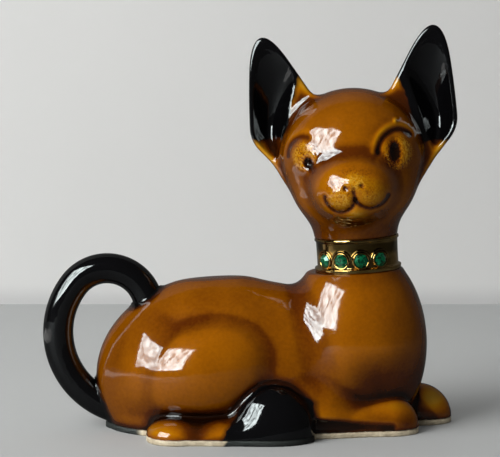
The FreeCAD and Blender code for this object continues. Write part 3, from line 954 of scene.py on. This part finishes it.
def row_tree(paste):
    """One of a row of stones set round a band: a table, a crown and a back with flat facets."""
    tree, given = shape_tree("stone in a row", (
        ("Band radius", "Float", 14.4 * MM), ("Drop", "Float", STONE_ROW_DROP * MM), ("Angle", "Float", 0.0),
        ("Stone radius", "Float", STONE_RADIUS * MM), ("Table share", "Float", 0.56), ("Crown", "Float", 0.8 * MM),
        ("Pavilion", "Float", 1.4 * MM), ("Lean", "Float", math.radians(NECK_LEAN)),
        ("Facets", "Int", STONE_FACETS), ("Neck", "Vector", tuple(NECK_AT * MM)), ("Paste", "Material", paste)))
    table = math_node(tree, "MULTIPLY", given["Stone radius"], given["Table share"])
    halves = [add(tree, "GeometryNodeMeshCone", {"Vertices": given["Facets"], "Radius Top": top,
                                                 "Radius Bottom": given["Stone radius"], "Depth": given[depth]})
              for top, depth in ((table, "Crown"), (0.0, "Pavilion"))]
    back = add(tree, "GeometryNodeTransform", {"Geometry": halves[1].outputs[0], "Rotation": (math.pi, 0, 0)})
    both = join(tree, (halves[0].outputs[0], back.outputs[0]))
    stone = add(tree, "GeometryNodeConvexHull", {"Geometry": both})
    point = add(tree, "GeometryNodePoints", {"Count": 1})
    ahead = math_node(tree, "COSINE", given["Angle"])
    outward = vector_of(tree, X=math_node(tree, "SINE", given["Angle"]), Y=math_node(tree, "MULTIPLY", ahead, -1.0))
    reach = vector_node(tree, "SCALE", outward, given["Band radius"])
    low = vector_of(tree, Z=math_node(tree, "MULTIPLY", given["Drop"], -1.0))
    moved = add(tree, "GeometryNodeSetPosition", {"Geometry": point.outputs[0],
                                                  "Position": vector_node(tree, "ADD", reach, low)})
    facing = add(tree, "FunctionNodeAlignEulerToVector", {"Vector": outward}, axis="Z").outputs[0]
    placed = add(tree, "GeometryNodeInstanceOnPoints", {"Points": moved.outputs[0], "Instance": stone.outputs[0],
                                                        "Rotation": facing})
    real = add(tree, "GeometryNodeRealizeInstances", {0: placed.outputs[0]})
    return end_shape(tree, leant(tree, real.outputs[0], given), given["Paste"], smooth=False)


def bezel_tree(gilt):
    """A gilt wire round each stone of the row and a scallop over it, laid on the band's round wall."""
    tree, given = shape_tree("bezels on a band", (
        ("Band radius", "Float", BEZEL_OUT * MM), ("Drop", "Float", STONE_ROW_DROP * MM), ("Spacing", "Float", 0.5),
        ("First angle", "Float", 0.0), ("Ring radius", "Float", (STONE_RADIUS + 0.3) * MM),
        ("Wire", "Float", 0.36 * MM), ("Scallop radius", "Float", 3.4 * MM),
        ("Lean", "Float", math.radians(NECK_LEAN)), ("Count", "Int", STONE_COUNT),
        ("Neck", "Vector", tuple(NECK_AT * MM)), ("Gilt", "Material", gilt)))
    radius = given["Band radius"]
    low = math_node(tree, "MULTIPLY", given["Drop"], -1.0)
    start = vector_of(tree, X=math_node(tree, "MULTIPLY", given["First angle"], radius), Y=low)
    offset = vector_of(tree, X=math_node(tree, "MULTIPLY", given["Spacing"], radius))
    row = add(tree, "GeometryNodeMeshLine", {"Count": given["Count"], "Start Location": start, "Offset": offset})
    ring = add(tree, "GeometryNodeCurvePrimitiveCircle", {"Resolution": 40, "Radius": given["Ring radius"]})
    arch = add(tree, "GeometryNodeCurveArc", {"Resolution": 28, "Radius": given["Scallop radius"],
                                              "Start Angle": 0.12, "Sweep Angle": math.pi - 0.24})
    both = join(tree, (ring.outputs[0], arch.outputs[0]))
    placed = add(tree, "GeometryNodeInstanceOnPoints", {"Points": row.outputs[0], "Instance": both})
    flat = add(tree, "GeometryNodeRealizeInstances", {0: placed.outputs[0]})
    here = add(tree, "ShaderNodeSeparateXYZ", {0: add(tree, "GeometryNodeInputPosition").outputs[0]}).outputs
    angle = math_node(tree, "DIVIDE", here["X"], radius)
    across = math_node(tree, "MULTIPLY", math_node(tree, "SINE", angle), radius)
    ahead = math_node(tree, "MULTIPLY", math_node(tree, "COSINE", angle), radius)
    wrapped = vector_of(tree, X=across, Y=math_node(tree, "MULTIPLY", ahead, -1.0), Z=here["Y"])
    bent = add(tree, "GeometryNodeSetPosition", {"Geometry": flat.outputs[0], "Position": wrapped})
    wire = add(tree, "GeometryNodeCurvePrimitiveCircle", {"Resolution": 10, "Radius": given["Wire"]})
    solid = add(tree, "GeometryNodeCurveToMesh", {"Curve": bent.outputs[0], "Profile Curve": wire.outputs[0],
                                                  "Fill Caps": True})
    return end_shape(tree, leant(tree, solid.outputs[0], given), given["Gilt"])


def make_bezels(gilt):
    """The row's wires and scallops as one mesh."""
    values = {"Spacing": math.radians(STONE_SPACING), "First angle": stone_angle(0), "Gilt": gilt}
    return run_tree(bezel_tree(gilt), "gilt_bezels", values)


def grain_tree(glaze):
    """Tiny beads of glaze scattered on a piece where its golden mark is strong."""
    tree, given = shape_tree("grains in the glaze", (
        ("Piece", "Object", None), ("Density", "Float", 2.2e6), ("Grain radius", "Float", 0.17 * MM),
        ("Seed", "Int", 7), ("Glaze", "Material", glaze)))
    piece = add(tree, "GeometryNodeObjectInfo", {"Object": given["Piece"]}).outputs["Geometry"]
    gold, dark = [add(tree, "GeometryNodeInputNamedAttribute", {"Name": name}, data_type="FLOAT").outputs[0]
                  for name in ("golden", "dark_eye")]
    bright = math_node(tree, "SUBTRACT", gold, 0.3)
    where = math_node(tree, "SUBTRACT", bright, math_node(tree, "MULTIPLY", dark, 2.0), True)
    density = math_node(tree, "MULTIPLY", where, given["Density"])
    spots = add(tree, "GeometryNodeDistributePointsOnFaces", {"Mesh": piece, "Density": density,
                                                              "Seed": given["Seed"]})
    grain = add(tree, "GeometryNodeMeshIcoSphere", {"Radius": given["Grain radius"], "Subdivisions": 2})
    size = add(tree, "FunctionNodeRandomValue", {"Seed": given["Seed"], 2: 0.5, 3: 1.1}, data_type="FLOAT")
    strewn = add(tree, "GeometryNodeInstanceOnPoints", {"Points": spots.outputs[0], "Instance": grain.outputs[0],
                                                        "Scale": size.outputs[1]})
    return end_shape(tree, strewn.outputs[0], given["Glaze"])


def make_grains(piece, glaze):
    """The beads on a piece as one mesh."""
    return run_tree(grain_tree(glaze), "golden_grains", {"Piece": piece, "Glaze": glaze})


def stone_angle(index):
    """The angle of a stone round the neck, from the collar's front, in radians."""
    return math.radians(STONE_ROW_ANGLE + (index - (STONE_COUNT - 1) / 2) * STONE_SPACING)


def make_stones(paste):
    """The row of stones, each its own mesh."""
    tree = row_tree(paste)
    return [run_tree(tree, f"paste_stone_{index + 1}", {"Angle": stone_angle(index), "Paste": paste})
            for index in range(STONE_COUNT)]


def colour(red, green, blue):
    """A colour as a screen shows it, turned into light."""
    share = [c / 255 for c in (red, green, blue)]
    return tuple(c / 12.92 if c <= 0.04045 else ((c + 0.055) / 1.055) ** 2.4 for c in share) + (1.0,)


def ramp(tree, value, *stops):
    """A colour that changes with a value along the stops."""
    made = add(tree, "ShaderNodeValToRGB", {0: value})
    scale = made.color_ramp
    scale.elements[0].position, scale.elements[0].color = stops[0]
    scale.elements[1].position, scale.elements[1].color = stops[-1]
    for position, shade in stops[1:-1]:
        scale.elements.new(position).color = shade
    return made.outputs["Color"]


def mix_colour(tree, share, first, second, kind="MIX"):
    """Two colours mixed by a share, or multiplied."""
    links = {0: share, 6: first, 7: second}
    return add(tree, "ShaderNodeMix", links, data_type="RGBA", blend_type=kind).outputs[2]


def noise(tree, place, scale, detail, **more):
    """Cloudy noise from 0 to 1."""
    return add(tree, "ShaderNodeTexNoise", {"Vector": place, "Scale": scale, "Detail": detail, **more}).outputs[0]


def spread(tree, value, low, high, first=0.0, last=1.0, **settings):
    """A value moved from one range into another."""
    return add(tree, "ShaderNodeMapRange", {0: value, 1: low, 2: high, 3: first, 4: last}, **settings).outputs[0]


def mark(tree, name):
    """A mark that the mesh carries at its points."""
    return add(tree, "ShaderNodeAttribute", attribute_name=name).outputs["Fac"]


def place_on(tree, system="Object"):
    """The place on the object, or on its flat map."""
    return add(tree, "ShaderNodeTexCoord").outputs[system]


def bumps(tree, height, strength, depth):
    """The surface's normal over small bumps."""
    return add(tree, "ShaderNodeBump", {"Height": height, "Strength": strength, "Distance": depth}).outputs[0]


def new_material(name):
    """An empty material and its tree."""
    made = bpy.data.materials.new(name)
    made.use_nodes = True
    made.node_tree.nodes.clear()
    return made, made.node_tree


def end_look(tree, values, kind="ShaderNodeBsdfPrincipled"):
    """The shader with its values, and the material's output."""
    look = add(tree, kind, values)
    add(tree, "ShaderNodeOutputMaterial", {"Surface": look.outputs[0]})


# Amber from its darkest pools and painted shade to where it is thin and golden, the brown of its edge, and the black
AMBER = ((0.0, colour(30, 11, 2)), (0.25, colour(94, 42, 1)), (0.5, colour(170, 99, 0)),
         (0.72, colour(196, 130, 2)), (1.0, colour(212, 162, 50)))
BROWN_EDGE = colour(52, 22, 8)
BLACK = colour(9, 9, 11)


def amber_tone(tree, place, cloud, gold, stipple):
    """How light the amber is: from 0 where glaze pools and shade is painted, to 1 where it is thin, golden and
    speckled; painted light lifts the forepaw tops.
    """
    fine_part = spread(tree, mark(tree, "fine_bend"), -0.8, 0.6, -0.18, 0.13)
    broad_part = spread(tree, mark(tree, "broad_bend"), -0.2, 0.4, -0.34, 0.2)
    pupil = mark(tree, "dark_eye")
    tone = math_node(tree, "ADD", math_node(tree, "ADD", fine_part, broad_part), 0.5)
    # Pooled glaze and painted shade darken the amber here; the painted light on the forepaw tops lightens it
    tone = math_node(tree, "SUBTRACT", tone, math_node(tree, "MULTIPLY", mark(tree, "pools_and_painted_light"), 0.42))
    tone = math_node(tree, "SUBTRACT", tone, math_node(tree, "MULTIPLY", pupil, 0.55))
    grains = spread(tree, stipple, 0.34, 0.6, -0.2, 0.3)
    tone = math_node(tree, "ADD", tone, math_node(tree, "MULTIPLY", gold, grains))
    tone = math_node(tree, "ADD", tone, spread(tree, cloud, 0.3, 0.7, -0.035, 0.035))
    speck = spread(tree, noise(tree, place, 900.0, 2.0), 0.3, 0.7, -0.02, 0.02)
    return math_node(tree, "ADD", tone, speck, True)


def glaze_group():
    """Colour, roughness and normal of the glaze: amber that pools in creases, with painted shade and painted light
    from its marks, and black where it is marked.
    """
    tree, given = group_tree("pooled glaze", "ShaderNodeTree",
                             (("Black shift", "Float", 0.0), ("Ripple", "Float", 0.1)),
                             (("Color", "Color"), ("Roughness", "Float"), ("Normal", "Vector")))
    place = place_on(tree)
    drawn = vector_node(tree, "MULTIPLY", place, (1.0, 1.0, 0.45))
    cloud = noise(tree, drawn, 90.0, 3.0)
    stipple = noise(tree, place, 1500.0, 2.0)
    off_pupil = math_node(tree, "MULTIPLY", mark(tree, "dark_eye"), 1.2)
    gold = math_node(tree, "SUBTRACT", mark(tree, "golden"), off_pupil, True)
    amber = ramp(tree, amber_tone(tree, place, cloud, gold, stipple), *AMBER)
    waver = spread(tree, noise(tree, place, 260.0, 3.0), 0.25, 0.75, -0.6, 0.6)
    edge = math_node(tree, "ADD", math_node(tree, "ADD", mark(tree, "black_side"), waver), given["Black shift"])
    brown = spread(tree, edge, -1.6, 0.0, interpolation_type="SMOOTHSTEP")
    black = spread(tree, edge, -0.25, 0.35, interpolation_type="SMOOTHSTEP")
    run = mix_colour(tree, math_node(tree, "MULTIPLY", brown, 0.75), amber, BROWN_EDGE)
    fine_wave = math_node(tree, "MULTIPLY", noise(tree, drawn, 520.0, 2.0), 0.22)
    wave = math_node(tree, "ADD", noise(tree, place, 150.0, 2.0), fine_wave)
    wave = math_node(tree, "ADD", wave, math_node(tree, "MULTIPLY", math_node(tree, "MULTIPLY", stipple, gold), 0.35))
    add(tree, "NodeGroupOutput", {"Color": mix_colour(tree, black, run, BLACK),
                                  "Roughness": spread(tree, cloud, 0.3, 0.7, 0.05, 0.1),
                                  "Normal": bumps(tree, wave, given["Ripple"], 0.0012)}, is_active_output=True)
    return tree


def glaze_material(name, group, black_shift=0.0):
    """The glaze on one kind of piece, deeper in tone where the eye grazes it."""
    made, tree = new_material(name)
    look = add(tree, "ShaderNodeGroup", node_tree=group)
    look.inputs["Black shift"].default_value = black_shift
    facing = add(tree, "ShaderNodeLayerWeight", {"Blend": 0.5}).outputs["Facing"]
    deep = mix_colour(tree, 1.0, look.outputs["Color"], (0.1, 0.045, 0.02, 1.0), "MULTIPLY")
    shade = mix_colour(tree, facing, look.outputs["Color"], deep)
    end_look(tree, {"Base Color": shade, "Roughness": look.outputs["Roughness"], "Normal": look.outputs["Normal"],
                    "IOR": 1.55})
    return made


def grain_material():
    """Golden beads of thin glaze."""
    made, tree = new_material("golden_grain")
    cloud = noise(tree, place_on(tree), 900.0, 1.0)
    tone = ramp(tree, cloud, (0.35, colour(120, 74, 4)), (0.65, colour(206, 152, 44)))
    end_look(tree, {"Base Color": tone, "Roughness": 0.15, "IOR": 1.5})
    return made


def bisque_material():
    """Bare fired clay, cream, stained dark under the black paw and with painted shadow at the rump's end."""
    made, tree = new_material("bare_bisque")
    cloud = noise(tree, place_on(tree), 420.0, 5.0)
    clay_tone = ramp(tree, cloud, (0.3, colour(176, 160, 132)), (0.7, colour(222, 208, 180)))
    # Dark from the black stain under the paw and from the painted shadow at the rump's end
    stain = spread(tree, mark(tree, "black_side"), -0.4, 0.4)
    shade = mix_colour(tree, stain, clay_tone, colour(24, 27, 24))
    end_look(tree, {"Base Color": shade, "Roughness": 0.62, "Normal": bumps(tree, cloud, 0.3, 0.0003)})
    return made


def gilt_material():
    """Bright gold on glazed clay, with a painted dark reflection of the room above the stones."""
    made, tree = new_material("gilt_metal")
    place = place_on(tree)
    cloud = noise(tree, place, 260.0, 4.0)
    tone = ramp(tree, cloud, (0.3, colour(150, 118, 60)), (0.7, colour(206, 172, 108)))
    height = add(tree, "ShaderNodeSeparateXYZ", {0: place}).outputs["Z"]
    # Painted reflection: the band above the stones is darkened, as if it mirrored the dark room
    from_low = spread(tree, height, 0.0612, 0.0626)
    from_top = spread(tree, height, 0.0660, 0.0652)
    painted_dark_reflection = math_node(tree, "MULTIPLY", math_node(tree, "MULTIPLY", from_low, from_top), 0.8)
    tone = mix_colour(tree, painted_dark_reflection, tone, colour(70, 54, 26))
    end_look(tree, {"Base Color": tone, "Roughness": spread(tree, cloud, 0.3, 0.7, 0.05, 0.12), "Metallic": 1.0,
                    "Normal": bumps(tree, cloud, 0.12, 0.0004)})
    return made


def paste_material():
    """Green glass paste with a foil behind it."""
    made, tree = new_material("green_paste")
    cloud = noise(tree, place_on(tree), 800.0, 2.0)
    tone = ramp(tree, cloud, (0.35, colour(0, 60, 34)), (0.65, colour(8, 128, 84)))
    end_look(tree, {"Base Color": tone, "Roughness": 0.08, "Metallic": 0.35, "IOR": 1.6, "Coat Weight": 0.8,
                    "Coat Roughness": 0.02})
    return made


# The room: a table, a pale wall behind it and a tall window at the front left
WALL_Y = 290.0
WALL_TOP = 1400.0
WALL_BEND = 0.1
TABLE_HALF = 1500.0
TABLE_FRONT = -400.0
CAMERA_AT = (-12.1, -553.7, 124.7)
CAMERA_DIP = 5.73
CAMERA_LENS = 116.64

# The window as the cat sees it: azimuth and height in degrees, distance, width and height in millimetres
WINDOW = (-50.0, 25.0, 1300.0, 930.0, 860.0)

# The soft lights: name, azimuth and height in degrees, distance, width, height, power and tint
LIGHTS = (("window", WINDOW[0], WINDOW[1], 1290.0, 700.0, 640.0, 12.0, (1.0, 0.995, 0.98)),
          ("window_glow", -55.0, 45.0, 1500.0, 1100.0, 1000.0, 12.0, (1.0, 0.99, 0.98)),
          ("ceiling_glow", 20.0, 78.0, 1300.0, 1600.0, 1200.0, 2.2, (1.0, 1.0, 1.0)))


def plain_material(name, tone, has_painted_foot_shade):
    """A plain, faintly uneven surface; mirrors see it dimmer, and a wall gets painted shade softly at its foot, where
    it meets the table.
    """
    made, tree = new_material(name)
    place = place_on(tree)
    darker = tuple(c * 0.97 for c in tone[:3]) + (1.0,)
    shade = ramp(tree, noise(tree, place, 6.0, 6.0), (0.3, darker), (0.7, tone))
    if has_painted_foot_shade:
        # Painted shade along the foot of the wall, where it meets the table
        height = add(tree, "ShaderNodeSeparateXYZ", {0: place}).outputs["Z"]
        above_foot_shade = spread(tree, height, 0.0, 0.012, interpolation_type="SMOOTHSTEP")
        foot = mix_colour(tree, 1.0, shade, (0.8, 0.8, 0.81, 1.0), "MULTIPLY")
        shade = mix_colour(tree, above_foot_shade, foot, shade)
    glossy = add(tree, "ShaderNodeLightPath").outputs["Is Glossy Ray"]
    dim = mix_colour(tree, 1.0, shade, (0.17, 0.17, 0.17, 1.0), "MULTIPLY")
    end_look(tree, {"Base Color": mix_colour(tree, glossy, shade, dim), "Roughness": 0.7,
                    "Specular IOR Level": 0.2})
    return made


def make_room():
    """A table that meets the wall in a tight curve."""
    turns = np.linspace(0, math.pi / 2, 12)
    section = [(TABLE_FRONT, 0.0)]
    section += [(WALL_Y - WALL_BEND + WALL_BEND * math.sin(t), WALL_BEND - WALL_BEND * math.cos(t)) for t in turns]
    section.append((WALL_Y, WALL_TOP))
    points = np.array([(x, y, z) for x in (-TABLE_HALF, TABLE_HALF) for y, z in section])
    count = len(section)
    faces = np.array([(k, k + 1, count + k + 1, count + k) for k in range(count - 1)])[:, ::-1]
    table = ("table", faces[:4], colour(179, 181, 181))
    wall = ("wall", faces[4:], colour(220, 220, 219))
    for name, part, tone in (table, wall):
        piece = mesh_object(name, points, part)
        piece.data.materials.append(plain_material(name, tone, name == "wall"))


def aim(thing, place, target):
    """A light or card put at a place and turned to face a target."""
    thing.location = [c * MM for c in place]
    way = Vector([t - p for t, p in zip(target, place)])
    thing.rotation_euler = way.to_track_quat("-Z", "Y").to_euler()


def seen_from_cat(azimuth, height, distance):
    """A place at an azimuth (0 towards the viewer) and a height in degrees, and the cat's middle to aim at."""
    a = math.radians(azimuth)
    e = math.radians(height)
    middle = (-5.0, 0.0, 55.0)
    place = (middle[0] + distance * math.sin(a) * math.cos(e), middle[1] - distance * math.cos(a) * math.cos(e),
             middle[2] + distance * math.sin(e))
    return place, middle


def add_light(name, azimuth, height, distance, width, tall, power, tint):
    """A soft rectangular light aimed at the cat, which mirrors don't see."""
    light = bpy.data.lights.new(name, "AREA")
    light.shape = "RECTANGLE"
    light.size = width * MM
    light.size_y = tall * MM
    light.energy = power
    light.color = tint
    thing = bpy.data.objects.new(name, light)
    bpy.context.collection.objects.link(thing)
    aim(thing, *seen_from_cat(azimuth, height, distance))
    thing.visible_glossy = False


def bright_card(name, width, tall, stretch, cloud_values, glow_range, tint):
    """A bright, uneven plane that only mirrors see and that lights nothing."""
    made, tree = new_material(name)
    streak = vector_node(tree, "MULTIPLY", place_on(tree, "UV"), stretch)
    glow = spread(tree, noise(tree, streak, **cloud_values), *glow_range)
    end_look(tree, {"Color": tint, "Strength": glow}, "ShaderNodeEmission")
    bpy.ops.mesh.primitive_plane_add(size=1.0)
    card = bpy.context.object
    card.name = name
    card.scale = (width * MM, tall * MM, 1.0)
    card.data.materials.append(made)
    card.visible_diffuse = False
    card.visible_shadow = False
    card.visible_camera = False
    return card


def make_cards():
    """What the glaze mirrors: the window, and the sunlit patch of table at the left."""
    azimuth, height, distance, width, tall = WINDOW
    clouds = {"scale": 1.3, "detail": 4.0, "Distortion": 0.8}
    window = bright_card("window_card", width, tall, (5.0, 2.0, 1.0), clouds, (0.36, 0.66, 3.0, 24.0),
                         (0.9, 1.0, 1.0, 1.0))
    aim(window, *seen_from_cat(azimuth, height, distance))
    glint = bright_card("table_glint", 160.0, 260.0, (1.0, 1.0, 1.0), {"scale": 3.0, "detail": 3.0},
                        (0.3, 0.7, 0.5, 1.9), (1.0, 1.0, 0.98, 1.0))
    glint.location = (-0.28, -0.02, 0.001)


def make_lights():
    """The soft lights, the cards and a faint light from all round."""
    for light in LIGHTS:
        add_light(*light)
    make_cards()
    world = bpy.data.worlds.new("room")
    bpy.context.scene.world = world
    world.use_nodes = True
    background = world.node_tree.nodes["Background"]
    background.inputs["Color"].default_value = (1.0, 0.98, 0.95, 1.0)
    background.inputs["Strength"].default_value = 0.035


def make_camera():
    """The camera where the photograph was taken from."""
    data = bpy.data.cameras.new("camera")
    data.lens = CAMERA_LENS
    data.sensor_width = 36.0
    data.clip_start = 0.01
    data.clip_end = 20.0
    camera = bpy.data.objects.new("camera", data)
    bpy.context.collection.objects.link(camera)
    camera.location = [c * MM for c in CAMERA_AT]
    camera.rotation_euler = (math.radians(90.0 - CAMERA_DIP), 0.0, 0.0)
    bpy.context.scene.camera = camera


def dress():
    """Every piece of the figurine with its material, each put in place of its node's CAD part, which is hidden."""
    group = glaze_group()
    glazes = {slot: glaze_material(slot, group) for slot in ("amber_glaze", "ear_glaze", "hind_foot_glaze")}
    glazes["black_glaze"] = glaze_material("black_glaze", group, 40.0)
    made = make_clay()
    for piece, node, slot in made:
        piece.data.materials.append(glazes[slot])
    made.append((make_tail(glazes["black_glaze"]), "tail", "black_glaze"))
    base = make_base()
    base.data.materials.append(bisque_material())
    made.append((base, "base_plate", "bare_bisque"))
    band = make_collar()
    gilt = gilt_material()
    band.data.materials.append(gilt)
    made.append((band, "collar_band", "gilt_metal"))
    made.append((make_bezels(gilt), "collar_band", "gilt_metal"))
    head_piece = next(piece for piece, node, slot in made if node == "head_casting")
    made.append((make_grains(head_piece, grain_material()), "head_casting", "amber_glaze"))
    for index, stone in enumerate(make_stones(paste_material()), start=1):
        made.append((stone, f"stone_{index}", "green_paste"))
    for piece, node, slot in made:
        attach(piece, "root")
        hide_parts(node)


dress()
make_room()
make_lights()
make_camera()
bpy.context.scene.view_settings.view_transform = "Standard"
